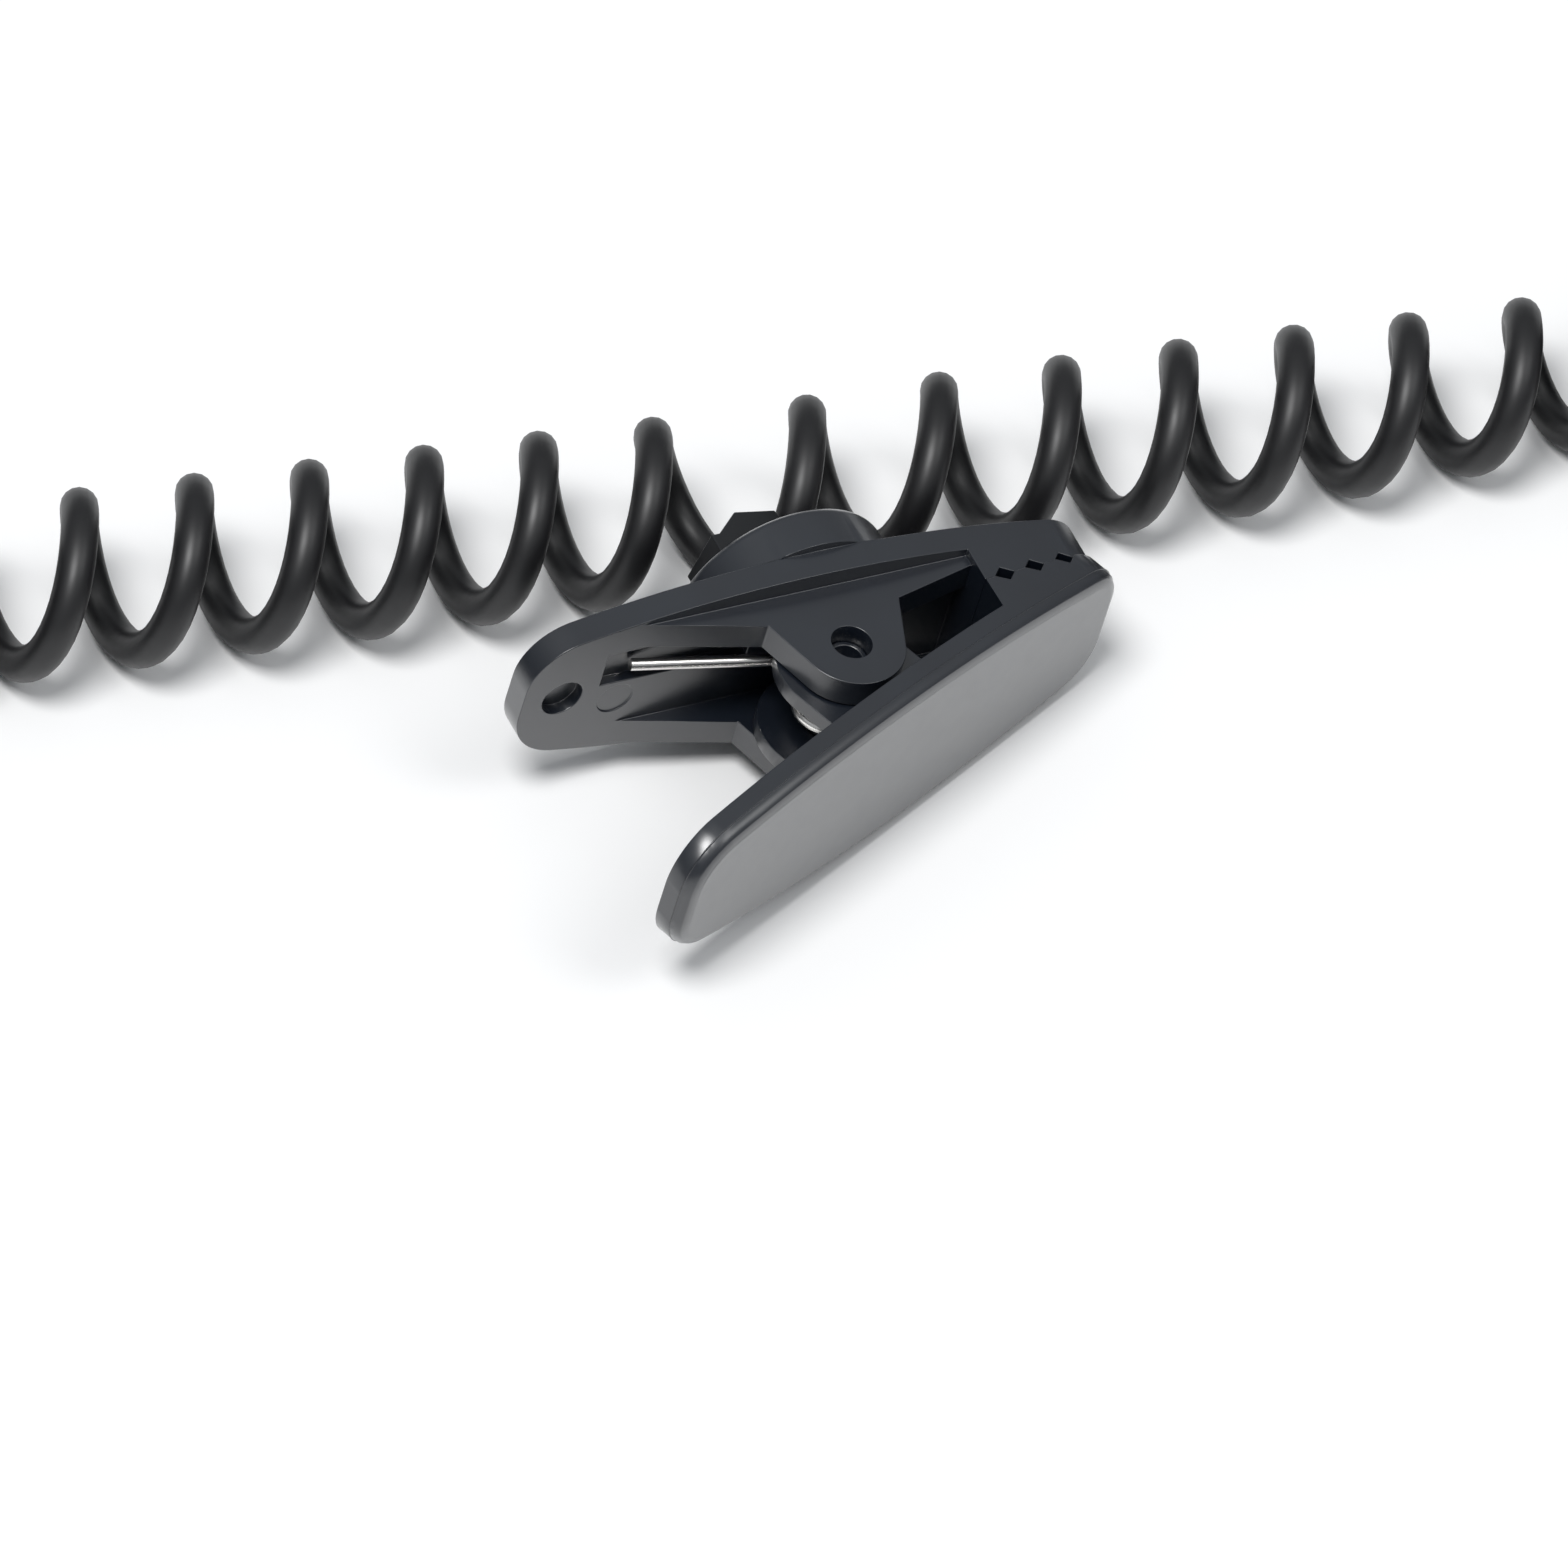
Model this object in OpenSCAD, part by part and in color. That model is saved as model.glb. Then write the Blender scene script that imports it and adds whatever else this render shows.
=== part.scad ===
// Lavalier microphone lead: a curly cord in a swivelling spring clip, with a
// capsule microphone on one end and a 3.5 mm plug on the other.
// The clip lies on its side. The origin is where the swivel disc's rim stands on
// the table, +X runs along the cord towards the microphone, +Y from clip to cord.

/* [Clip plates] */
// Width of the back plate at the hinge
back_w = 13.5; // [12:0.1:16]
// Width of the front plate at the hinge
front_w = 13.4; // [12:0.1:14]
// Thickness of the back plate
back_t = 1.9; // [1.6:0.1:2.6]
// Thickness of the front plate
front_t = 2.1; // [1.6:0.05:3]
// Reach of both plates from the hinge to the tip
tip_reach = 19.9; // [19:0.1:22]
// Reach of the back plate from the hinge to the handle end
back_reach = 19.8; // [19:0.1:24]
// Reach of the front plate from the hinge to the handle end
front_reach = 21.2; // [19:0.1:24]
// Radius of the back plate's bowed long edges
back_bow = 81; // [75:1:110]
// Radius of the front plate's bowed long edges
front_bow = 100; // [90:1:140]
// Corner radius at the handle end
handle_r = 4; // [2.5:0.1:4.2]
// Corner radius at the tip
tip_r = 3.4; // [2:0.1:4]
// Width of the soft edge round the front plate's outer face
rim = 0.9; // [0.4:0.05:1.2]

/* [Hinge] */
// Hinge axis to the back plate's inner face
hinge_back = 4.7; // [4.6:0.05:6]
// Hinge axis to the front plate's inner face
hinge_front = 4.2; // [3.9:0.05:5]
// Angle between the closed plates
jaw_angle = 22.2; // [20:0.1:26]
// Radius of the hinge pin
pin_r = 1.32; // [1:0.02:1.4]
// Radius of the bore in the hollow end of the hinge pin
pin_bore_r = 0.95; // [0.4:0.05:1]
// Depth of the hinge pin's ends in the ears
pin_sunk = 1.4; // [0.4:0.1:1.5]
// Radius of the outer ears round the hinge
ear_r = 3.5; // [3:0.05:3.6]
// Half width of the outer ears at their foot
ear_foot = 4.65; // [4.2:0.05:5.5]
// Thickness of an outer ear
ear_t = 2; // [1.4:0.1:2.2]
// Distance from the clip's middle to an outer ear's face
ear_face = 5.5; // [5.2:0.1:6]
// Radius of the inner ears round the hinge
inner_ear_r = 4.4; // [3.6:0.05:4.4]
// Thickness of an inner ear
inner_ear_t = 1.15; // [0.8:0.05:1.2]
// Gap between an inner and an outer ear
ear_gap = 0.15; // [0.1:0.05:0.3]
// Height of the ribs at the ears
rib_h = 2.1; // [1.2:0.1:2.4]
// Reach of the ribs from the hinge towards the handle
rib_reach = 12.4; // [10:0.1:14]
// Slope of the ribs from the ears to the teeth
rib_slope = 12.2; // [8:0.1:14]

/* [Teeth] */
// Hinge axis to the start of the tooth blocks
tooth_start = 10.45; // [10:0.05:12]
// Distance between two notches
tooth_pitch = 2.44; // [2:0.02:2.8]
// Number of notches
tooth_count = 3; // [2:1:3]
// Half width of a notch
notch_w = 0.8; // [0.4:0.05:0.9]
// Depth of a notch
notch_d = 0.6; // [0.4:0.05:0.9]
// Slant of the biting line against the back plate
bite_slant = 9.1; // [7:0.1:11]
// Distance from the biting line to the back plate's inner face at the first notch
bite_depth = 2.35; // [2:0.05:2.6]
// Gap between the closed teeth
bite_gap = 0.04; // [0.02:0.01:0.2]

/* [Spring] */
// Diameter of the spring wire
wire_d = 0.8; // [0.6:0.05:0.85]
// Mean radius of the spring's coil
spring_r = 2.1; // [1.9:0.05:2.4]
// Advance of the spring's coil per turn
spring_pitch = 1.38; // [1.25:0.01:1.4]
// Length of each straight leg
leg = 13.2; // [9:0.1:14]
// Depth of the groove that the leg lies in
groove_d = 0.7; // [0.2:0.05:0.8]

/* [Swivel and cable grip] */
// Radius of the swivel disc
disc_r = 7.3; // [7:0.05:8]
// Thickness of the swivel disc
disc_t = 3.15; // [2.6:0.05:4]
// Rounding of the swivel disc's edge
disc_round = 0.6; // [0.3:0.05:0.9]
// Distance from the hinge to the swivel axis, towards the tip
swivel_off = 0.65; // [0:0.05:1.2]
// Angle of the disc's face against the cord
disc_yaw = 9.2; // [7:0.1:11]
// Angle by which the clip leans towards its tip on the swivel
clip_lean = 5.1; // [0:0.1:6]
// Radius of the swivel stud
stud_r = 1.6; // [1.2:0.05:2]
// Radius of the stud's head
stud_head_r = 2.3; // [2.1:0.05:2.6]
// Thickness of the stud's head
stud_head_t = 0.7; // [0.5:0.05:0.9]
// Radius of the grip's round base
base_r = 5.2; // [4.6:0.1:6]
// Thickness of the grip's round base
base_t = 1; // [0.8:0.05:1.4]
// Running gap round the stud and between grip and disc
run_gap = 0.05; // [0.03:0.01:0.1]
// Disc's face to the middle of the gripped strand
strand_up = 3.18; // [2.9:0.01:3.6]
// Swivel axis to the middle of the gripped strand
strand_off = 2.42; // [2.2:0.01:3.4]
// Length of the strand that the grip holds
grip_w = 3; // [2:0.1:3.2]
// Width of the grip's block along the strand
block_w = 3.8; // [3.4:0.1:6]
// Thickness of the grip's arms beside the strand
arm_t = 1.3; // [1:0.1:1.8]
// Reach of the grip's arms past the strand's middle
arm_up = 0.8; // [0.7:0.05:1.2]
// Clearance of the cord in the grip
cord_gap = 0.06; // [0.04:0.01:0.12]

/* [Curly cord] */
// Diameter of the cord
cord_d = 2.4; // [2:0.1:2.6]
// Radius of the curls at the middle of the cord
curl_r = 4.7; // [4.4:0.1:6]
// Advance per curl on the plug's side, drawn out
plug_pitch = 7.5; // [6:0.01:9]
// Advance per curl on the microphone's side, drawn out
mic_pitch = 7.77; // [6:0.01:9]
// Extra stretch beside the grip on the plug's side
plug_stretch = 2.45; // [0:0.05:4]
// Extra stretch beside the grip on the microphone's side
mic_stretch = 1.6; // [0:0.05:4]
// Sway of each curl along the cord: the loops lean towards the microphone
curl_lean = 0.5; // [0:0.05:0.8]
// Turn of the plug's side away from the clip
plug_turn = 1.05; // [0:0.05:3]
// Step of the microphone's side away from the clip
mic_step = 0.58; // [0:0.02:1]
// Turn of the microphone's side away from the clip, per curl towards its end
mic_bend = 1.2; // [0:0.1:2]
// Loss of radius of the curls towards the microphone
mic_narrow = 0.6; // [0:0.05:0.8]
// Drawn-out curls on each side
open_curls = 7; // [5:1:8]
// Relaxed curls at the plug's end
plug_closed = 8; // [6:1:16]
// Relaxed curls at the microphone's end
mic_closed = 8; // [6:1:16]
// Advance per relaxed curl
closed_pitch = 2.9; // [2.85:0.01:3.4]

/* [Microphone] */
// Radius of the housing
mic_r = 3.1; // [2.8:0.05:3.6]
// Length of the housing
mic_len = 11; // [9:0.5:16]
// Wall of the housing
mic_wall = 0.5; // [0.4:0.05:0.8]
// Length of the cap
cap_len = 3.6; // [3:0.1:5]
// Radius of the holes in the cap
cap_hole_r = 0.38; // [0.2:0.02:0.5]
// Radius of the capsule
capsule_r = 2; // [1.8:0.05:2.1]
// Length of the capsule
capsule_len = 1.8; // [1.2:0.1:2.2]
// Length of the tapered boots
boot_len = 8; // [6:0.5:12]

/* [Plug] */
// Radius of the plug's pin
jack_r = 1.75; // [1.75:0.01:1.76]
// Length of the plug's pin
jack_len = 14; // [13.5:0.1:15]
// Radius of the plug's shell
shell_r = 3.5; // [3.2:0.05:4.5]
// Length of the plug's shell
shell_len = 15; // [12:0.5:20]
// Width of the insulating bands
band = 0.7; // [0.5:0.05:1]

/* [Hidden] */
$fn = 64;

eps = 0.01;
fit = 0.05;                                   // radial gap of a turning pin
inner_face = ear_face - ear_t;                // inside of the outer ears
inner_ear_face = inner_face - ear_gap;        // outside of the inner ears
disc_mid = hinge_back + back_t + disc_t / 2;  // hinge axis to the disc's middle
axis_z = disc_r;                              // height of the swivel axis
bite_q = hinge_back - bite_depth;             // biting line at the first notch
first_notch = tooth_start + 1.55;             // hinge axis to the first notch
plate_end = tip_reach + 1;                    // just past the tips

// Spring: both legs run to the handle ends, the coil turns round the pin
sleep_back = asin((hinge_back + groove_d - wire_d / 2 - 0.05 - spring_r) / leg);
sleep_front = asin((hinge_front - wire_d / 2 - 0.05 - spring_r) / leg);
spring_from = 90 - sleep_back;
spring_to = -90 + jaw_angle + sleep_front;
spring_turns = 2 + (spring_from - spring_to) / 360;
spring_half = spring_turns * spring_pitch / 2;

// Cord: the gripped strand, then curls either way along X
strand_y = strand_up + disc_t / 2;            // strand past the disc's middle
strand_p = [strand_off * cos(disc_yaw) - strand_y * sin(disc_yaw),
            strand_off * sin(disc_yaw) + strand_y * cos(disc_yaw)];
curl_y = strand_p[1] + curl_r;                // axis of the curls
curl_z = curl_r + cord_d / 2;
curl_sides = 6;
curl_rings = 8;
plug_curls = open_curls + plug_closed - 0.25; // curls from the grip to the plug's lead
mic_curls = open_curls + mic_closed + 0.75;   // curls from the grip to the microphone's lead
plug_ease = 0.6;                              // curls that the stretch beside the grip takes
mic_ease = 2;
settle = 0.6;                                 // curls in which the open ones close up
held = 0.05;                                  // part of a curl that the grip holds straight
lean_phase = 0.138 * 360;                     // how far down a loop its sway begins
bend_from = 3.5;                              // curls from the grip to the turn of the microphone's side
strand_lean = atan((mic_pitch + plug_pitch) / (4 * PI * curl_r) + curl_lean * cos(lean_phase) / curl_r);
strand_drop = (axis_z - curl_z) * tan(strand_lean);

// Leads, by hand, from the last curl: x, y and the share of the climb from the table
mic_route = [[0, -2.4, 0], [0, -4, 0], [0.4, -6.2, 0], [1.2, -8.2, 0], [2.6, -9.9, 0.05], [4.4, -11.2, 0.2],
             [6.5, -11.9, 0.47], [8.7, -12.1, 0.76], [10.9, -12.1, 0.95], [13, -12.1, 1], [15, -12.1, 1]];
// The plug's lead first comes down from the top of its last curl: share of that height
plug_drop = [[-0.3, -2.4, 1], [-0.5, -4, 1], [-0.8, -6.5, 0.93], [-1, -8.5, 0.75], [-1.1, -10.1, 0.5],
             [-1.1, -11.8, 0.25], [-1.1, -13.8, 0.06]];
plug_route = [[-1.3, -16.2, 0], [-1.9, -18.4, 0], [-3, -20.3, 0.04], [-4.7, -21.8, 0.18], [-6.8, -22.6, 0.45],
              [-9, -22.9, 0.75], [-11.1, -22.9, 0.95], [-13.2, -22.9, 1], [-15.2, -22.9, 1]];

function unit(v) = v / norm(v);

// ---- sweeping a round tube along points -------------------------------------

// Direction of travel at point i
function heading(p, i) = unit(p[min(i + 1, len(p) - 1)] - p[max(i - 1, 0)]);

// Frames carried along the path without twist: each is the last one, laid square
function carried(p, i, side) =
    i == len(p) ? [] :
    let (h = heading(p, i), s = unit(side - (side * h) * h))
    concat([[s, cross(h, s)]], carried(p, i + 1, s));

module tube(path, d, sides, side) {
    frames = carried(path, 0, side);
    n = len(path);
    points = [for (i = [0:n - 1]) for (k = [0:sides - 1])
        path[i] + d / 2 * (cos(360 * k / sides) * frames[i][0] + sin(360 * k / sides) * frames[i][1])];
    walls = [for (i = [0:n - 2]) for (k = [0:sides - 1])
        let (a = i * sides + k, b = i * sides + (k + 1) % sides, c = a + sides, e = b + sides)
        each [[a, c, b], [b, c, e]]];
    ends = [for (k = [1:sides - 2]) each [[0, k, k + 1],
        [(n - 1) * sides, (n - 1) * sides + k + 1, (n - 1) * sides + k]]];
    polyhedron(points, concat(walls, ends), convexity = 20);
}

// Least distance between turns of a path, less the tube's diameter: points on
// neighbouring turns are at least half a turn of rings apart
function least_gap(p, d, rings) =
    min([for (i = [0:len(p) - 1]) for (j = [i + rings - 2:min(i + rings + 2, len(p) - 1)])
        if (j < len(p)) norm(p[i] - p[j])]) - d;

// ---- the curly cord -----------------------------------------------------------

// A smooth rise from 0 to 1
function rise(u) = let (v = min(u, 1)) 3 * v * v - 2 * v * v * v;

// Curls that the change from open to relaxed has taken up after n curls from the grip
function settled(n) = settle * (1 - exp(-max(0, n - open_curls) / settle));

// Travel along X after n curls from the grip
function travel(n, pitch, stretch, ease) =
    let (m = min(n, open_curls))
    pitch * m + stretch * rise(m / ease) + closed_pitch * (n - m) + (pitch - closed_pitch) * settled(n);

function curl_x(n) = n >= 0 ? travel(n, mic_pitch, mic_stretch, mic_ease)
                            : -travel(-n, plug_pitch, plug_stretch, plug_ease);

// Curls since the turn of the microphone's side began
function bent(n) = max(0, min(n, open_curls) - bend_from);

function axis_slope(n) = bent(n) * tan(mic_bend);

// How much further from the clip the curls' axis lies there than beside the grip
function aside(n) = n < 0 ? -curl_x(n) * tan(plug_turn)
    : mic_step * rise(n) + mic_pitch * (bent(n) / 2 + settled(n)) * axis_slope(n);

function radius(n) = curl_r - mic_narrow * rise(bent(n) / (open_curls - bend_from));

// Point of the cord n curls from the grip, 0 being the strand nearest the clip
function curl_point(n) = let (r = radius(n))
    [strand_p[0] - strand_drop + curl_x(n) + axis_slope(n) * r * cos(360 * n)
         + curl_lean * (sin(360 * n - lean_phase) + sin(lean_phase)),
     curl_y + aside(n) - r * cos(360 * n),
     cord_d / 2 + r + r * sin(360 * n)];

// The held strand stays straight, upright in the grip's channel
function held_point(n) = let (p = curl_point(n)) [p[0], strand_p[1], p[2]];

mic_last = curl_point(mic_curls);
plug_last = curl_point(-plug_curls);
cord_path = concat(
    [plug_last + [plug_drop[0][0], plug_drop[0][1], 0]],
    [for (i = [-plug_curls * curl_rings:-1]) curl_point(i / curl_rings)],
    [held_point(-held), held_point(held)],
    [for (i = [1:mic_curls * curl_rings]) curl_point(i / curl_rings)],
    [mic_last + [mic_route[0][0], mic_route[0][1], 0]]);
echo(least_gap_of_the_curls = least_gap(cord_path, cord_d, curl_rings));

// ---- clip shapes ----------------------------------------------------------------

// Frame of the swivel: y towards the cord along its axis, 0 at the disc's middle
module at_swivel() {
    translate([0, 0, axis_z]) rotate([0, 0, disc_yaw]) children();
}

// Frame of the back plate: x towards the tip, y towards the cord, z along the hinge
module at_hinge() {
    at_swivel() rotate([0, clip_lean, 0]) translate([-swivel_off, -disc_mid, 0]) children();
}

// Frame of the front plate, at rest against the back plate's teeth
module at_front() {
    at_hinge() rotate([0, 0, jaw_angle]) children();
}

// Middle of a corner circle that touches the bowed edge and the end of the plate
function corner(w, bow, reach, r) = sqrt(pow(bow - r, 2) - pow(reach - r, 2)) - (bow - w / 2);

// Outline of a plate, bowed along both sides with rounded corners, drawn in by `in`
module outline(w, bow, handle, in) {
    module end(reach, r) {
        side = corner(w, bow, reach, r);
        touch = (reach - r) * bow / (bow - r);
        translate([0, -w]) square([touch, 2 * w]);
        translate([0, -side]) square([reach - in, 2 * side]);
        for (s = [-1, 1]) translate([reach - r, s * side]) circle(r - in);
    }
    intersection() {
        translate([0, w / 2 - bow]) circle(bow - in, $fn = 360);
        translate([0, bow - w / 2]) circle(bow - in, $fn = 360);
        union() {
            end(tip_reach, tip_r);
            mirror([1, 0]) end(handle, handle_r);
        }
    }
}

// A plate of thickness t whose inner face is at y = from, growing towards +y
module plate(w, bow, handle, from, t, in = 0) {
    translate([0, from + t, 0]) rotate([90, 0, 0]) linear_extrude(t) outline(w, bow, handle, in);
}

module back_plate(from, t) plate(back_w, back_bow, back_reach, from, t);

module front_plate(from, t, in = 0) plate(front_w, front_bow, front_reach, from, t, in);

module slab(from, thick) translate([0, 0, from]) linear_extrude(thick) children();

// Side view of an outer ear with its ribs, seen along the hinge
module ear_side() {
    foot_q = hinge_back - rib_h;
    reach = norm([ear_foot, foot_q]);
    touch = atan2(foot_q, ear_foot) - acos(ear_r / reach);
    circle(ear_r);
    polygon([[ear_foot, foot_q], [ear_r * cos(touch), ear_r * sin(touch)],
             [-ear_r * cos(touch), ear_r * sin(touch)], [-ear_foot, foot_q]]);
    rib_end = tooth_start + 0.5;
    polygon([[-rib_reach, hinge_back], [-ear_foot, foot_q], [ear_foot, foot_q],
             [rib_end, foot_q + (rib_end - ear_foot) * tan(rib_slope)],
             [rib_end, hinge_back + eps], [-rib_reach, hinge_back + eps]]);
}

// Side view of a tooth block between the biting line and y = far
module teeth_side(side, far) {
    run = plate_end - first_notch;
    difference() {
        polygon([[tooth_start, bite_q - (first_notch - tooth_start) * tan(bite_slant) + side * bite_gap / 2],
                 [plate_end, bite_q + run * tan(bite_slant) + side * bite_gap / 2],
                 [plate_end, far], [tooth_start, far]]);
        for (i = [0:tooth_count - 1])
            translate([first_notch, bite_q]) rotate(bite_slant) translate([i * tooth_pitch, 0])
                polygon([[-notch_w, 0], [0, notch_d], [notch_w, 0], [0, -notch_d]]);
    }
}

// ---- clip -------------------------------------------------------------------------

// The disc stands on the back plate, its edge rounded
module swivel_disc() rotate([-90, 0, 0]) rotate_extrude() {
    translate([0, -eps]) square([disc_r, disc_t - disc_round + eps]);
    square([disc_r - disc_round, disc_t]);
    translate([disc_r - disc_round, disc_t - disc_round]) circle(disc_round);
}

module back_jaw() color("#1c1d20") at_hinge() {
    difference() {
        union() {
            back_plate(hinge_back, back_t);
            translate([swivel_off, hinge_back + back_t, 0]) swivel_disc();
            for (s = [-1, 1]) translate([0, 0, s * (ear_face - ear_t / 2) - ear_t / 2])
                linear_extrude(ear_t) ear_side();
            intersection() {
                slab(-back_w, 2 * back_w) intersection() {
                    teeth_side(1, hinge_back + back_t / 2);
                    rotate(jaw_angle) translate([0, bite_gap - hinge_front]) square(2 * plate_end);
                }
                back_plate(0, hinge_back + back_t);
            }
        }
        cylinder(r = pin_r, h = 20, center = true);
        // groove of the spring's leg
        translate([-leg - 1.2, hinge_back - 1, spring_half - 1.5 * wire_d])
            cube([leg - 2.8, 1 + groove_d, 3.5 * wire_d]);
        // hollow near the handle end, and the faint round mark beside it
        translate([2.85 - back_reach, hinge_back - 1, 0]) rotate([-90, 0, 0]) cylinder(r = 1.4, h = 1.8);
        translate([6.85 - back_reach, hinge_back - 1, -1.15]) rotate([-90, 0, 0]) cylinder(r = 1.23, h = 1.1);
        // bore of the swivel stud and the seat of its head
        translate([swivel_off, hinge_back - 1, 0]) rotate([-90, 0, 0]) {
            cylinder(r = stud_r + run_gap, h = 9);
            cylinder(r = stud_head_r + 0.15, h = 1 + stud_head_t + 2 * run_gap);
        }
    }
}

module front_jaw() color("#2a2b2e") {
    difference() {
        union() {
            at_front() {
                mirror([0, 1, 0]) {
                    front_plate(hinge_front, front_t - rim);
                    hull() {
                        front_plate(hinge_front + front_t - rim - 0.1, 0.1, 0.03);
                        front_plate(hinge_front + front_t - rim, rim * 0.4, rim * 0.1);
                        front_plate(hinge_front + front_t - rim, rim * 0.75, rim * 0.35);
                        front_plate(hinge_front + front_t - rim, rim, rim);
                    }
                }
                for (s = [-1, 1]) translate([0, 0, s * (inner_ear_face - inner_ear_t / 2) - inner_ear_t / 2])
                    linear_extrude(inner_ear_t) {
                        circle(inner_ear_r);
                        translate([-inner_ear_r, -hinge_front - eps]) square([2 * inner_ear_r, hinge_front]);
                    }
            }
            intersection() {
                at_hinge() slab(-front_w, 2 * front_w) teeth_side(-1, -6);
                at_front() mirror([0, 1, 0]) translate([0, -20, 0]) front_plate(0, 20 + hinge_front + eps);
            }
        }
        at_hinge() cylinder(r = pin_r + fit, h = 20, center = true);
    }
}

module hinge_pin() color("#141517") at_hinge() difference() {
    pin_half = ear_face - pin_sunk;
    cylinder(r = pin_r, h = 2 * pin_half, center = true);
    for (s = [-1, 1]) translate([0, 0, s * pin_half]) cylinder(r = pin_bore_r, h = 3, center = true);
}

// Torsion spring: leg, coil by formula, leg
spring_path = concat(
    [[spring_r * cos(spring_from) - leg * cos(sleep_back), spring_r * sin(spring_from) + leg * sin(sleep_back), spring_half]],
    [for (i = [0:round(spring_turns * curl_rings)])
        let (u = i / round(spring_turns * curl_rings), a = spring_from - 360 * spring_turns * u)
        [spring_r * cos(a), spring_r * sin(a), spring_half * (1 - 2 * u)]],
    [[spring_r * cos(spring_to) - leg * cos(jaw_angle + sleep_front),
      spring_r * sin(spring_to) - leg * sin(jaw_angle + sleep_front), -spring_half]]);
echo(least_gap_of_the_spring = least_gap(spring_path, wire_d, curl_rings));

module jaw_spring() color("#c9ccd0") at_hinge() tube(spring_path, wire_d, curl_sides, [0, 0, 1]);

// ---- cable grip: a snap-in channel on a round base that turns on the disc ----------

grip_up = strand_up - run_gap;                // strand above the grip's underside

// Along the held strand: x and y as at the hinge, z along the strand
module along_strand() translate([strand_off, 0, 0]) rotate([0, strand_lean, 0])
    translate([-strand_off, 0, 0]) children();

module across(w) along_strand() translate([0, 0, -w / 2]) linear_extrude(w) children();

module strand(gap) along_strand() translate([strand_off, grip_up, 0])
    cylinder(r = cord_d / 2 + gap, h = 20, center = true);

module cable_grip() color("#17181a") at_swivel() translate([0, disc_t / 2 + run_gap, 0]) {
    wall = cord_d / 2 + cord_gap + arm_t;
    top = grip_up + arm_up;
    rotate([-90, 0, 0]) cylinder(r = base_r, h = base_t);
    // block beside the strand, cut clear where the cord curls away
    difference() {
        across(block_w) translate([strand_off, 0])
            polygon([[-7.4, base_t / 2], [-7.4, 2.1], [-6.7, 2.2], [-4.65, top], [-1.5, top], [-1.5, base_t / 2]]);
        strand(cord_gap + 0.25);
    }
    // arms that hook over the strand
    difference() {
        across(grip_w) translate([strand_off, 0])
            polygon([[-3.85, base_t / 2], [-3.85, top], [wall - 0.5, top], [wall, top - 0.6], [wall, base_t / 2]]);
        strand(cord_gap);
        along_strand() translate([strand_off + 0.1 - cord_d / 2, grip_up, -10]) cube([cord_d - 0.2, 5, 20]);
    }
    translate([0, -disc_t - back_t + stud_head_t, 0]) rotate([-90, 0, 0])
        cylinder(r = stud_r, h = disc_t + back_t - stud_head_t + eps);
    translate([0, -disc_t - back_t, 0]) rotate([-90, 0, 0]) cylinder(r = stud_head_r, h = stud_head_t);
}

module curly_cord() color("#1a1a1b") tube(cord_path, cord_d, curl_sides, [0, 0, 1]);

// ---- microphone end: it lies beside the relaxed curls ------------------------------

// Route given from a curl, climbing from the table to the height of a part's axis
function placed(route, from, climb) =
    [for (p = route) [from[0] + p[0], from[1] + p[1], cord_d / 2 + p[2] * climb]];

mic_path = placed(mic_route, mic_last, mic_r - cord_d / 2);
plug_path = concat(placed(plug_drop, plug_last, 2 * curl_r), placed(plug_route, plug_last, shell_r - cord_d / 2));
echo(first_closed = [curl_point(-open_curls)[0], curl_point(open_curls)[0]]);
echo(ends = [plug_last, mic_last, plug_path[len(plug_path) - 1], mic_path[len(mic_path) - 1]]);

module mic_lead() color("#1a1a1b") tube(mic_path, cord_d, 8, [0, 0, 1]);

module at_mic() {
    translate(mic_path[len(mic_path) - 1]) rotate([0, 90, 0]) children();
}

module mic_boot() color("#202022") at_mic() rotate_extrude()
    polygon([[0, 0], [cord_d / 2 + 0.25, 0], [mic_r - 0.7, boot_len - 1], [mic_r - 0.1, boot_len],
             [mic_r - mic_wall - fit, boot_len],
             [mic_r - mic_wall - fit, boot_len + 2], [0, boot_len + 2]]);

module mic_housing() color("#222326") at_mic() translate([0, 0, boot_len]) rotate_extrude()
    polygon([[mic_r - mic_wall, 0], [mic_r - 0.3, 0], [mic_r, 0.3], [mic_r, mic_len], [mic_r - mic_wall, mic_len]]);

module mic_cap() color("#2b2c30") at_mic() translate([0, 0, boot_len + mic_len]) difference() {
    union() {
        cylinder(r = mic_r, h = cap_len);
        translate([0, 0, -1.5]) cylinder(r = mic_r - mic_wall - fit, h = 1.5 + eps);
    }
    translate([0, 0, -2]) cylinder(r = mic_r - mic_wall - fit - 0.35, h = cap_len + 1.4);
    for (ring = [1, 2]) for (i = [0:6 * ring - 1])
        rotate(60 / ring * i) translate([0.95 * ring, 0, 0]) cylinder(r = cap_hole_r, h = 9, $fn = 24);
    cylinder(r = cap_hole_r, h = 9, $fn = 24);
}

mesh_r = mic_r - mic_wall - fit - 0.35 - 0.05;
mesh_z = boot_len + mic_len + cap_len - 0.6;          // the cap's inside face
module mic_mesh() color("#3a3b3f") at_mic() translate([0, 0, mesh_z - 0.25]) cylinder(r = mesh_r, h = 0.25);

capsule_z = mesh_z - 0.25 - capsule_len - 0.5;
module capsule_gasket() color("#101011") at_mic() translate([0, 0, capsule_z + capsule_len]) difference() {
    cylinder(r = capsule_r, h = 0.5);
    translate([0, 0, -1]) cylinder(r = capsule_r - 0.6, h = 2);
}

module mic_capsule() color("#b9bcc0") at_mic() translate([0, 0, capsule_z]) difference() {
    cylinder(r = capsule_r, h = capsule_len);
    translate([0, 0, capsule_len - 0.3]) cylinder(r = 0.5, h = 1);
}

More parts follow.
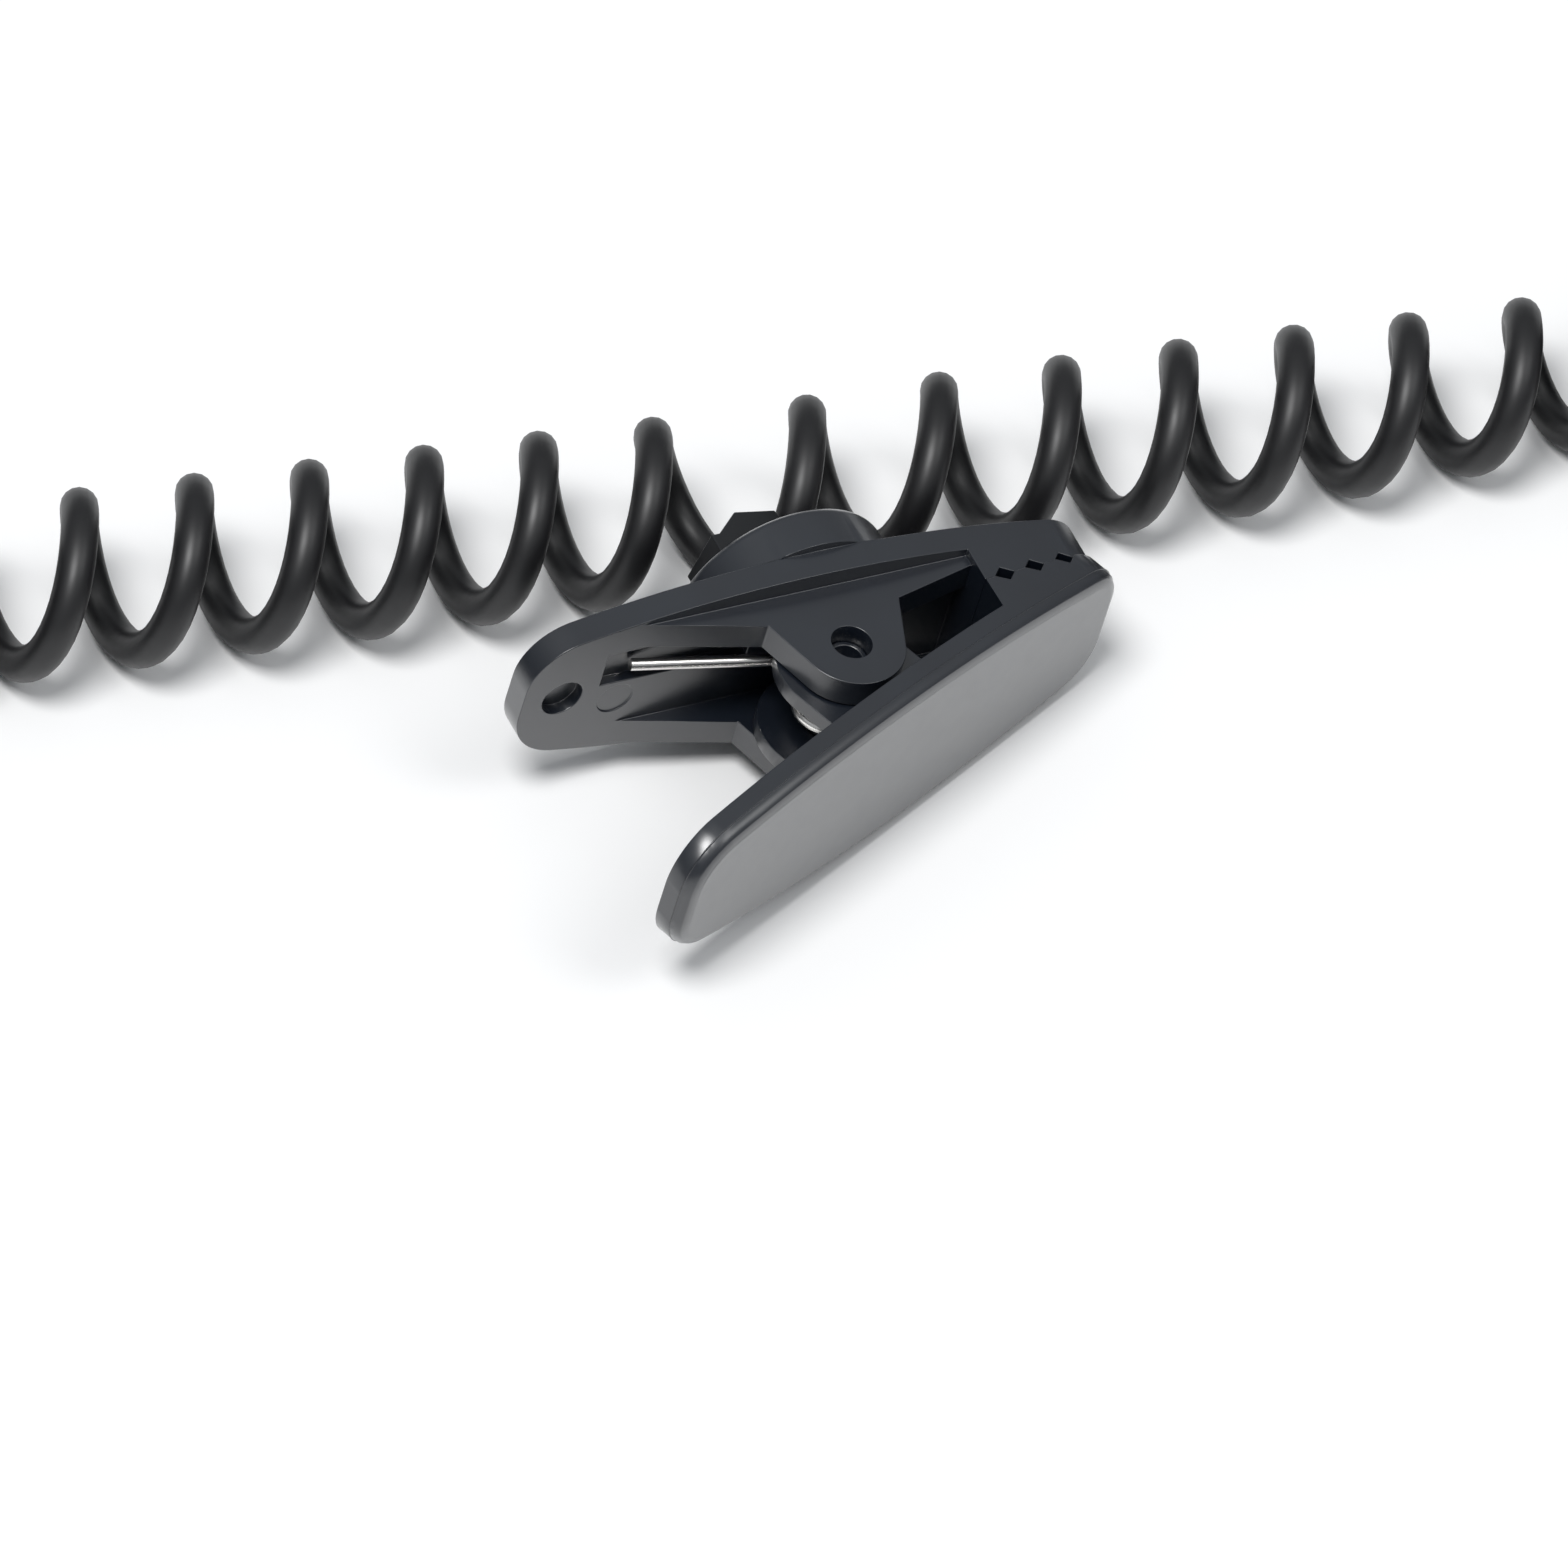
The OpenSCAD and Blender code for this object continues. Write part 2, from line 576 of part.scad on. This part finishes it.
module capsule_board() color("#1f5a35") at_mic() translate([0, 0, capsule_z - 0.5]) cylinder(r = capsule_r - 0.1, h = 0.5);

module core_wires() color("#c8a24a") at_mic() for (s = [-1, 1])
    translate([s * 0.7, 0, boot_len + 2]) cylinder(r = 0.25, h = capsule_z - 0.5 - boot_len - 2, $fn = 24);

// ---- plug end ------------------------------------------------------------------------

module plug_lead() color("#1a1a1b") tube(plug_path, cord_d, 8, [0, 0, 1]);

module at_plug() {
    translate(plug_path[len(plug_path) - 1]) rotate([0, -90, 0]) children();
}

module plug_boot() color("#202022") at_plug() rotate_extrude()
    polygon([[0, 0], [cord_d / 2 + 0.25, 0], [shell_r - 1, boot_len], [0, boot_len]]);

module plug_shell() color("#222326") at_plug() translate([0, 0, boot_len]) rotate_extrude()
    polygon([[0, 0], [shell_r - 0.4, 0], [shell_r, 0.4], [shell_r, shell_len - 0.5], [shell_r - 0.5, shell_len],
             [1.4, shell_len], [1.4, shell_len - 4], [0, shell_len - 4]]);

jack_z = boot_len + shell_len;
rod_r = 0.6;
tip_len = 4.2;
ring_len = 2.6;
sleeve_len = jack_len - tip_len - ring_len - 2 * band;

module plug_sleeve() color("#d8d2b8") at_plug() translate([0, 0, jack_z]) difference() {
    cylinder(r = jack_r, h = sleeve_len);
    translate([0, 0, -1]) cylinder(r = rod_r + 0.35, h = sleeve_len + 2);
}

module plug_ring() color("#d8d2b8") at_plug() translate([0, 0, jack_z + sleeve_len + band]) difference() {
    cylinder(r = jack_r, h = ring_len);
    translate([0, 0, -1]) cylinder(r = rod_r + 0.35, h = ring_len + 2);
}

module plug_tip() color("#d8d2b8") at_plug() translate([0, 0, jack_z + jack_len - tip_len]) rotate_extrude()
    polygon([[0, 0], [jack_r, 0], [jack_r, 0.7], [1.15, 1.5], [1.7, 2.5], [1.55, 3.1], [0.5, tip_len], [0, tip_len]]);

module plug_bands() color("#101011") at_plug() for (z = [jack_z + sleeve_len, jack_z + sleeve_len + band + ring_len])
    translate([0, 0, z]) difference() {
        cylinder(r = jack_r, h = band);
        translate([0, 0, -1]) cylinder(r = rod_r + fit, h = 3);
    }

module plug_rod() color("#c8a24a") at_plug() translate([0, 0, jack_z - 4]) cylinder(r = rod_r, h = 4 + jack_len - tip_len);

back_jaw();
front_jaw();
hinge_pin();
jaw_spring();
cable_grip();
curly_cord();
mic_lead();
mic_boot();
mic_housing();
mic_cap();
mic_mesh();
mic_capsule();
capsule_gasket();
capsule_board();
core_wires();
plug_lead();
plug_boot();
plug_shell();
plug_sleeve();
plug_ring();
plug_tip();
plug_bands();
plug_rod();
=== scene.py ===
import math
import bpy
from mathutils import Matrix, Vector


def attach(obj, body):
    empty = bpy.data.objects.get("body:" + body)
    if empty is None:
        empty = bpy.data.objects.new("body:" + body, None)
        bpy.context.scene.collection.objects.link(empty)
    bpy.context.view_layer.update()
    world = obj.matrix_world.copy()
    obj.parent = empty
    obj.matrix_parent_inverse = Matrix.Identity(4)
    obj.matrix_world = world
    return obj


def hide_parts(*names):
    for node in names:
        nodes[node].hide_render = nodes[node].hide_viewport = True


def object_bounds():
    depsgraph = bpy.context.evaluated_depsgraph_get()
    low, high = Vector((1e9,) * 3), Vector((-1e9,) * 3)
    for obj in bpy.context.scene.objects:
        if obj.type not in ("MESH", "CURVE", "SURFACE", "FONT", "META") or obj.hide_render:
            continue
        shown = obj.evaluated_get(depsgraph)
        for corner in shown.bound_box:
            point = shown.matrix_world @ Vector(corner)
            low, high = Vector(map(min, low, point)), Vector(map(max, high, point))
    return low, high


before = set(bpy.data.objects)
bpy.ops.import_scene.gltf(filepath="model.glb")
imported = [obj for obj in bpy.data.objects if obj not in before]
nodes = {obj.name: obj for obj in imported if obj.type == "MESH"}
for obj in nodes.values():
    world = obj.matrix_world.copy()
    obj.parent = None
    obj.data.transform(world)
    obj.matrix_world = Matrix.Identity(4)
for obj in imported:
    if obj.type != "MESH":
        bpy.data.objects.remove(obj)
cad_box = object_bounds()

MM = 0.001

# ---- sizes shared with the part's source, in mm ----------------------------------

# Swivel disc, and the strand of cord that its grip holds
DISC_R = 7.3
DISC_T = 3.15
DISC_YAW = math.radians(9.2)    # disc's face against the cord
STRAND_OFF = 2.42               # swivel axis to the held strand
STRAND_UP = 3.18                # disc's face to the held strand

# Clip plates and spring
SWIVEL_OFF = 0.65               # hinge to the swivel axis, towards the tip
CLIP_LEAN = math.radians(5.1)
JAW_ANGLE = math.radians(22.2)  # between the closed plates
HINGE_BACK = 4.7                # hinge axis to the back plate's inner face
HINGE_FRONT = 4.2               # hinge axis to the front plate's inner face
BACK_T = 1.9                    # back plate
GROOVE_D = 0.7                  # groove that the back leg lies in
WIRE_D = 0.8
WIRE_GAP = 0.05                 # spring's leg to the plate
COIL_R = 2.1                    # spring's coil, at the middle of the wire
COIL_PITCH = 1.38
COIL_TURNS = 2                  # whole turns
LEG = 13.2                      # straight leg of the spring

# Curly cord, going from the grip to the microphone and to the plug
CORD_D = 2.4
CURL_R = 4.7                    # curls, at the middle of the cord
PLUG_PITCH, MIC_PITCH = 7.5, 7.77
PLUG_STRETCH, MIC_STRETCH = 2.45, 1.6  # extra stretch beside the grip
PLUG_EASE, MIC_EASE = 0.6, 2    # curls that this stretch takes
CLOSED_PITCH = 2.9              # of the relaxed curls
SETTLE = 0.6                    # curls in which the open ones close up
OPEN_CURLS, CLOSED_CURLS = 7, 8
PLUG_CURLS = OPEN_CURLS + CLOSED_CURLS - 0.25
MIC_CURLS = OPEN_CURLS + CLOSED_CURLS + 0.75
CURL_LEAN = 0.5                 # sway of each curl along the cord
LEAN_PHASE = 0.138 * math.tau   # how far down a loop its sway begins
PLUG_TURN = math.radians(1.05)  # turn of the plug's side away from the clip
MIC_STEP = 0.58                 # step of the microphone's side away from the clip
BEND_FROM = 3.5                 # curls from the grip to the turn of the microphone's side
MIC_BEND = math.radians(1.2)    # this turn, per curl
MIC_NARROW = 0.6                # loss of radius of the curls towards the microphone
MIC_R = 3.1                     # microphone's housing
SHELL_R = 3.5                   # plug's shell

# Leads, from the last curl: x, y and the share of the climb from the table
MIC_ROUTE = [(0, -2.4, 0), (0, -4, 0), (0.4, -6.2, 0), (1.2, -8.2, 0), (2.6, -9.9, 0.05),
             (4.4, -11.2, 0.2), (6.5, -11.9, 0.47), (8.7, -12.1, 0.76), (10.9, -12.1, 0.95),
             (13, -12.1, 1), (15, -12.1, 1)]
# The plug's lead first comes down from the top of its last curl: share of that height
PLUG_DROP = [(-0.3, -2.4, 1), (-0.5, -4, 1), (-0.8, -6.5, 0.93), (-1, -8.5, 0.75),
             (-1.1, -10.1, 0.5), (-1.1, -11.8, 0.25), (-1.1, -13.8, 0.06)]
PLUG_ROUTE = [(-1.3, -16.2, 0), (-1.9, -18.4, 0), (-3, -20.3, 0.04), (-4.7, -21.8, 0.18),
              (-6.8, -22.6, 0.45), (-9, -22.9, 0.75), (-11.1, -22.9, 0.95), (-13.2, -22.9, 1),
              (-15.2, -22.9, 1)]

# ---- how the cord and the spring are drawn ---------------------------------------

CURL_STEPS = 32                 # points per curl
LEAD_STEPS = 4                  # points per stretch of a lead's route
TUBE_ROUNDNESS = 6              # Blender's bevel resolution, which makes 16 sides
COIL_STEPS = 120                # points on the spring's coil
COIL_SPLIT = 0.8                # share of the coil that stays with the back jaw
COIL_OVERLAP = 0.06             # share of the coil that both of its pieces have
COIL_THIN = 0.94                # keeps that share of one piece inside the other

# ---- camera ----------------------------------------------------------------------

AZIMUTH, ELEVATION, ROLL = (math.radians(a) for a in (-25.70, 49.09, 11.99))
TARGET = Vector((-2.73, -10.85, 3.06)) * MM
FRAME_WIDTH = 98 * MM           # what the photograph's width shows at the target
DISTANCE = 2.5                  # in metres; far off, as the photograph's perspective is flat
SENSOR = 36


def make_camera():
    """A camera that looks at the target, rolled about its line of sight."""
    toward = Vector((math.cos(ELEVATION) * math.sin(AZIMUTH),
                     -math.cos(ELEVATION) * math.cos(AZIMUTH), math.sin(ELEVATION)))
    level = Vector((math.cos(AZIMUTH), math.sin(AZIMUTH), 0))
    upright = toward.cross(level)
    right = level * math.cos(ROLL) + upright * math.sin(ROLL)
    up = upright * math.cos(ROLL) - level * math.sin(ROLL)
    data = bpy.data.cameras.new("camera")
    data.sensor_width = SENSOR
    data.lens = SENSOR * DISTANCE / FRAME_WIDTH
    data.clip_start, data.clip_end = 0.05, 20
    camera = bpy.data.objects.new("camera", data)
    bpy.context.scene.collection.objects.link(camera)
    turn = Matrix((right, up, toward)).transposed().to_4x4()
    camera.matrix_world = Matrix.Translation(TARGET + toward * DISTANCE) @ turn
    bpy.context.scene.camera = camera


make_camera()

# ---- the curls, as in the part's source ------------------------------------------

strand_y = STRAND_UP + DISC_T / 2  # strand past the disc's middle
strand = Vector((STRAND_OFF * math.cos(DISC_YAW) - strand_y * math.sin(DISC_YAW),
                 STRAND_OFF * math.sin(DISC_YAW) + strand_y * math.cos(DISC_YAW), 0))
curl_y = strand.y + CURL_R      # axis of the curls
curl_z = CURL_R + CORD_D / 2
strand_slope = ((MIC_PITCH + PLUG_PITCH) / (2 * math.tau * CURL_R)
                + CURL_LEAN * math.cos(LEAN_PHASE) / CURL_R)
strand_drop = (DISC_R - curl_z) * strand_slope  # along X, from the curls' axis up to the swivel axis


def rise(u):
    """A smooth rise from 0 to 1."""
    v = min(u, 1)
    return 3 * v * v - 2 * v ** 3


def settled(n):
    """Curls that the change from open to relaxed has taken up after n curls from the grip."""
    return SETTLE * (1 - math.exp(-max(0, n - OPEN_CURLS) / SETTLE))


def travel(n, pitch, stretch, ease):
    """Travel along X after n curls from the grip."""
    m = min(n, OPEN_CURLS)
    return (pitch * m + stretch * rise(m / ease) + CLOSED_PITCH * (n - m)
            + (pitch - CLOSED_PITCH) * settled(n))


def curl_x(n):
    """Where the curls are along X; n is above 0 towards the microphone, below 0 towards the plug."""
    if n >= 0:
        return travel(n, MIC_PITCH, MIC_STRETCH, MIC_EASE)
    return -travel(-n, PLUG_PITCH, PLUG_STRETCH, PLUG_EASE)


def curl_point(n):
    """Point of the cord n curls from the grip, 0 being the strand nearest the clip."""
    x = curl_x(n)
    bent = max(0, min(n, OPEN_CURLS) - BEND_FROM)
    slope = bent * math.tan(MIC_BEND)
    if n < 0:
        aside = -x * math.tan(PLUG_TURN)
    else:
        aside = MIC_STEP * rise(n) + MIC_PITCH * (bent / 2 + settled(n)) * slope
    radius = CURL_R - MIC_NARROW * rise(bent / (OPEN_CURLS - BEND_FROM))
    turn = math.tau * n
    sway = CURL_LEAN * (math.sin(turn - LEAN_PHASE) + math.sin(LEAN_PHASE))
    return Vector((strand.x - strand_drop + x + slope * radius * math.cos(turn) + sway,
                   curl_y + aside - radius * math.cos(turn),
                   CORD_D / 2 + radius + radius * math.sin(turn)))


def curls(end):
    """Points along the curls, from the grip to curl number end."""
    count = round(abs(end) * CURL_STEPS)
    return [curl_point(end * i / count) for i in range(count + 1)]


# ---- the two sides of the cord ---------------------------------------------------


def placed(route, start, climb):
    """A lead's points: its route, laid from the curls' last point."""
    return [Vector((start.x + x, start.y + y, CORD_D / 2 + share * climb))
            for x, y, share in route]


def smooth(points):
    """The points with a smooth curve through them."""
    out = []
    for i in range(len(points) - 1):
        a, b = points[max(i - 1, 0)], points[i]
        c, d = points[i + 1], points[min(i + 2, len(points) - 1)]
        for k in range(LEAD_STEPS):
            t = k / LEAD_STEPS
            out.append(0.5 * (2 * b + (c - a) * t + (2 * a - 5 * b + 4 * c - d) * t * t
                              + (3 * b - a - 3 * c + d) * t ** 3))
    return out + [points[-1]]


def curve_piece(name, points, radius):
    """A round tube along the points, in mm."""
    data = bpy.data.curves.new(name, "CURVE")
    data.dimensions = "3D"
    data.bevel_depth = 1        # so that a point's radius is the tube's, in metres
    data.bevel_resolution = TUBE_ROUNDNESS
    data.use_fill_caps = True
    spline = data.splines.new("POLY")
    spline.points.add(len(points) - 1)
    for point, place in zip(spline.points, points):
        point.co = (*(place * MM), 1)
        point.radius = radius * MM
    spline.use_smooth = True
    piece = bpy.data.objects.new(name, data)
    bpy.context.scene.collection.objects.link(piece)
    return piece


mic_lead = placed(MIC_ROUTE, curl_point(MIC_CURLS), MIC_R - CORD_D / 2)
plug_lead = (placed(PLUG_DROP, curl_point(-PLUG_CURLS), 2 * CURL_R)
             + placed(PLUG_ROUTE, curl_point(-PLUG_CURLS), SHELL_R - CORD_D / 2))
mic_cord = curve_piece("mic_side_cord", curls(MIC_CURLS) + smooth(mic_lead), CORD_D / 2)
plug_cord = curve_piece("plug_side_cord", curls(-PLUG_CURLS) + smooth(plug_lead), CORD_D / 2)
for piece in (mic_cord, plug_cord):
    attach(piece, "cord")
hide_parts("curly_cord", "mic_lead")
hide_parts("curly_cord", "plug_lead")

# ---- torsion spring: a piece with each jaw, one inside the other in the coil -----

hinge = (Matrix.Translation((0, 0, DISC_R)) @ Matrix.Rotation(DISC_YAW, 4, "Z")
         @ Matrix.Rotation(CLIP_LEAN, 4, "Y")
         @ Matrix.Translation((-SWIVEL_OFF, -(HINGE_BACK + BACK_T + DISC_T / 2), 0)))
level_off = WIRE_D / 2 + WIRE_GAP + COIL_R  # hinge axis to a plate that a leg would lie level with
lie_back = math.asin((HINGE_BACK + GROOVE_D - level_off) / LEG)
lie_front = math.asin((HINGE_FRONT - level_off) / LEG)
front_way = JAW_ANGLE + lie_front
coil_from = math.pi / 2 - lie_back
coil_turn = math.tau * COIL_TURNS + coil_from - (front_way - math.pi / 2)
coil_half = coil_turn / math.tau * COIL_PITCH / 2


def coil_point(u):
    """Middle of the wire at a share u of the coil, about the hinge."""
    angle = coil_from - coil_turn * u
    return Vector((COIL_R * math.cos(angle), COIL_R * math.sin(angle), coil_half * (1 - 2 * u)))


def coil(start, end):
    """Points on the coil, from one share of it to another."""
    first, last = round(start * COIL_STEPS), round(end * COIL_STEPS)
    return [coil_point(i / COIL_STEPS) for i in range(first, last + 1)]


back_end = coil_point(0) + LEG * Vector((-math.cos(lie_back), math.sin(lie_back), 0))
front_end = coil_point(1) - LEG * Vector((math.cos(front_way), math.sin(front_way), 0))
back_wire = [back_end] + coil(0, COIL_SPLIT)
front_wire = coil(COIL_SPLIT - COIL_OVERLAP, 1) + [front_end]
spring_back = curve_piece("spring_back", [hinge @ p for p in back_wire], WIRE_D / 2)
spring_front = curve_piece("spring_front", [hinge @ p for p in front_wire], WIRE_D / 2)
for point in spring_front.data.splines[0].points[:round(COIL_OVERLAP * COIL_STEPS)]:
    point.radius *= COIL_THIN
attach(spring_back, "clip")
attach(spring_front, "jaw")
for piece in (spring_back, spring_front):
    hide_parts("jaw_spring")

# ---- materials -------------------------------------------------------------------

# Noise scales, per metre: 9000 makes a grain of a tenth of a millimetre
PLASTIC_GRAIN, METAL_GRAIN, CORD_GRAIN, CLOTH_GRAIN = 9000, 6000, 5000, 4000
BROADER = 12                    # the sheen varies this much more broadly than the grain
TINT_SCALE = 160
NOISE_LOW, NOISE_HIGH = 0.3, 0.7  # what most of a noise lies between
TINT_LOW, TINT_HIGH = 0.35, 0.65


def principled(name, color, roughness, metallic=0.0, specular=0.5, coat=0.0, coat_ior=1.5):
    material = bpy.data.materials.new(name)
    material.use_nodes = True
    shader = material.node_tree.nodes["Principled BSDF"]
    shader.inputs["Base Color"].default_value = (*color, 1)
    shader.inputs["Roughness"].default_value = roughness
    shader.inputs["Metallic"].default_value = metallic
    shader.inputs["Specular IOR Level"].default_value = specular
    shader.inputs["Coat Weight"].default_value = coat
    shader.inputs["Coat Roughness"].default_value = 0.3
    shader.inputs["Coat IOR"].default_value = coat_ior
    return material, shader


def noise(tree, scale, detail):
    """A noise over the piece's own space."""
    place = tree.nodes.new("ShaderNodeTexCoord")
    texture = tree.nodes.new("ShaderNodeTexNoise")
    texture.inputs["Scale"].default_value = scale
    texture.inputs["Detail"].default_value = detail
    tree.links.new(place.outputs["Object"], texture.inputs["Vector"])
    return texture.outputs["Fac"]


def speckle(material, shader, scale, low, high, bump, distance):
    """Noise that varies the roughness between low and high, and a fine grain, distance in mm."""
    tree = material.node_tree
    spread = tree.nodes.new("ShaderNodeMapRange")
    spread.inputs["From Min"].default_value = NOISE_LOW
    spread.inputs["From Max"].default_value = NOISE_HIGH
    spread.inputs["To Min"].default_value = low
    spread.inputs["To Max"].default_value = high
    tree.links.new(noise(tree, scale / BROADER, detail=3), spread.inputs["Value"])
    tree.links.new(spread.outputs["Result"], shader.inputs["Roughness"])
    raised = tree.nodes.new("ShaderNodeBump")
    raised.inputs["Strength"].default_value = bump
    raised.inputs["Distance"].default_value = distance * MM
    tree.links.new(noise(tree, scale, detail=6), raised.inputs["Height"])
    tree.links.new(raised.outputs["Normal"], shader.inputs["Normal"])


def tint(material, shader, dark, light):
    """Slow change of colour over the surface."""
    tree = material.node_tree
    ramp = tree.nodes.new("ShaderNodeValToRGB")
    for element, position, color in zip(ramp.color_ramp.elements, (TINT_LOW, TINT_HIGH), (dark, light)):
        element.position = position
        element.color = (*color, 1)
    tree.links.new(noise(tree, TINT_SCALE, detail=2), ramp.inputs["Fac"])
    tree.links.new(ramp.outputs["Color"], shader.inputs["Base Color"])


def plastic(name, dark, light, low, high, scale=PLASTIC_GRAIN, bump=0.12, distance=0.02, **extra):
    """Plastic, rubber or cloth: its colour goes from dark to light, its roughness from low to high."""
    material, shader = principled(name, light, low, **extra)
    speckle(material, shader, scale, low, high, bump, distance)
    tint(material, shader, dark, light)
    return material


def metal(name, color, low, high):
    material, shader = principled(name, color, low, metallic=1.0)
    speckle(material, shader, METAL_GRAIN, low, high, bump=0.05, distance=0.01)
    return material


jaw_plastic = plastic("jaw_plastic", (0.004, 0.006, 0.011), (0.006, 0.009, 0.015), 0.3, 0.34,
                      coat=1, coat_ior=1.6)
grip_plastic = plastic("grip_plastic", (0.008, 0.009, 0.010), (0.013, 0.014, 0.016), 0.32, 0.42)
cord_pvc = plastic("cord_pvc", (0.004, 0.004, 0.005), (0.007, 0.007, 0.008), 0.42, 0.48,
                   scale=CORD_GRAIN, bump=0.1, specular=0.6)
boot_rubber = plastic("boot_rubber", (0.012, 0.012, 0.013), (0.018, 0.018, 0.019), 0.5, 0.6)
mic_shell = plastic("mic_shell", (0.012, 0.012, 0.014), (0.018, 0.018, 0.021), 0.34, 0.42)
mesh_cloth = plastic("mesh_cloth", (0.01, 0.01, 0.011), (0.03, 0.03, 0.032), 0.8, 0.95,
                     scale=CLOTH_GRAIN, bump=0.6, distance=0.05)
band_plastic = plastic("band_plastic", (0.01, 0.01, 0.01), (0.015, 0.015, 0.015), 0.15, 0.2)
board = plastic("board", (0.02, 0.12, 0.05), (0.03, 0.17, 0.07), 0.35, 0.5)
spring_steel = metal("spring_steel", (0.97, 0.95, 0.92), 0.22, 0.28)
contact_metal = metal("contact", (0.86, 0.80, 0.66), 0.14, 0.22)
can_metal = metal("capsule_can", (0.7, 0.7, 0.71), 0.28, 0.4)
copper = metal("copper", (0.78, 0.45, 0.25), 0.3, 0.4)

for piece in (mic_cord, plug_cord):
    piece.data.materials.append(cord_pvc)
for piece in (spring_back, spring_front):
    piece.data.materials.append(spring_steel)

# ---- CAD pieces: materials and soft edges ----------------------------------------

WELD_GAP = 0.0005               # mm
FLAT_ANGLE = math.radians(0.4)  # facets that lie flatter than this are one
EDGE_ANGLE = math.radians(28)   # edges that turn more than this are rounded
EDGE_SEGMENTS = 3


def dress(node, material, edge):
    """Gives a CAD node its material, and rounds its edges by edge mm."""
    piece = nodes[node]
    mesh = piece.data
    mesh.materials.clear()
    mesh.materials.append(material)
    for face in mesh.polygons:
        face.use_smooth = True
    weld = piece.modifiers.new("weld", "WELD")
    weld.merge_threshold = WELD_GAP * MM
    flat = piece.modifiers.new("flat", "DECIMATE")
    flat.decimate_type = "DISSOLVE"
    flat.angle_limit = FLAT_ANGLE
    if edge:
        bevel = piece.modifiers.new("edge", "BEVEL")
        bevel.width = edge * MM
        bevel.segments = EDGE_SEGMENTS
        bevel.limit_method = "ANGLE"
        bevel.angle_limit = EDGE_ANGLE
        bevel.harden_normals = True
        bevel.use_clamp_overlap = False
    normals = piece.modifiers.new("normals", "WEIGHTED_NORMAL")
    normals.keep_sharp = True


for node, material, edge in (
        ("back_jaw", jaw_plastic, 0.06), ("front_jaw", jaw_plastic, 0.06), ("hinge_pin", jaw_plastic, 0.1),
        ("cable_grip", grip_plastic, 0.08),
        ("mic_boot", boot_rubber, 0.1), ("mic_housing", mic_shell, 0.05), ("mic_cap", mic_shell, 0.15),
        ("mic_mesh", mesh_cloth, 0), ("mic_capsule", can_metal, 0.1), ("capsule_gasket", boot_rubber, 0),
        ("capsule_board", board, 0), ("core_wires", copper, 0),
        ("plug_boot", boot_rubber, 0.1), ("plug_shell", mic_shell, 0.2), ("plug_sleeve", contact_metal, 0.05),
        ("plug_ring", contact_metal, 0.05), ("plug_tip", contact_metal, 0.1), ("plug_bands", band_plastic, 0),
        ("plug_rod", copper, 0)):
    dress(node, material, edge)

# ---- floor and light, in metres --------------------------------------------------

FLOOR_HALF = 3
FLOOR_COLOR = (0.93, 0.93, 0.93)
SKY_COLOR = (0.93, 0.965, 1)
SKY_LOW, SKY_HIGH = 0.12, 0.42  # strength at the horizon and overhead
SKY_RISE = 0.7                  # sine of the angle above the horizon from which it is at its full strength


def make_floor():
    data = bpy.data.meshes.new("floor")
    corners = [(x * FLOOR_HALF, y * FLOOR_HALF, 0) for x, y in ((-1, -1), (1, -1), (1, 1), (-1, 1))]
    data.from_pydata(corners, [], [(0, 1, 2, 3)])
    floor = bpy.data.objects.new("floor", data)
    floor.location.z = cad_box[0][2]
    bpy.context.scene.collection.objects.link(floor)
    material, _ = principled("floor", FLOOR_COLOR, roughness=0.6, specular=0.2)
    data.materials.append(material)


def make_world():
    """Bright overhead and dim towards the horizon, as under a studio's ceiling."""
    world = bpy.data.worlds.new("world")
    bpy.context.scene.world = world
    world.use_nodes = True
    tree = world.node_tree
    background = tree.nodes["Background"]
    background.inputs["Color"].default_value = (*SKY_COLOR, 1)
    direction = tree.nodes.new("ShaderNodeTexCoord")
    split = tree.nodes.new("ShaderNodeSeparateXYZ")
    dimmed = tree.nodes.new("ShaderNodeMapRange")
    dimmed.inputs["From Max"].default_value = SKY_RISE
    dimmed.inputs["To Min"].default_value = SKY_LOW
    dimmed.inputs["To Max"].default_value = SKY_HIGH
    tree.links.new(direction.outputs["Generated"], split.inputs["Vector"])
    tree.links.new(split.outputs["Z"], dimmed.inputs["Value"])
    tree.links.new(dimmed.outputs["Result"], background.inputs["Strength"])


def area_light(name, place, size, power):
    """A round light that faces the target."""
    data = bpy.data.lights.new(name, "AREA")
    data.shape = "DISK"
    data.size = size
    data.energy = power
    lamp = bpy.data.objects.new(name, data)
    lamp.location = place
    lamp.rotation_euler = (TARGET - Vector(place)).to_track_quat("-Z", "Y").to_euler()
    bpy.context.scene.collection.objects.link(lamp)


make_floor()
make_world()
area_light("key", place=(-0.7, -0.4, 2.0), size=0.85, power=34)
area_light("fill", place=(0.9, -0.5, 1.7), size=0.9, power=6)
bpy.context.scene.view_settings.view_transform = "Standard"

bpy.context.view_layer.update()
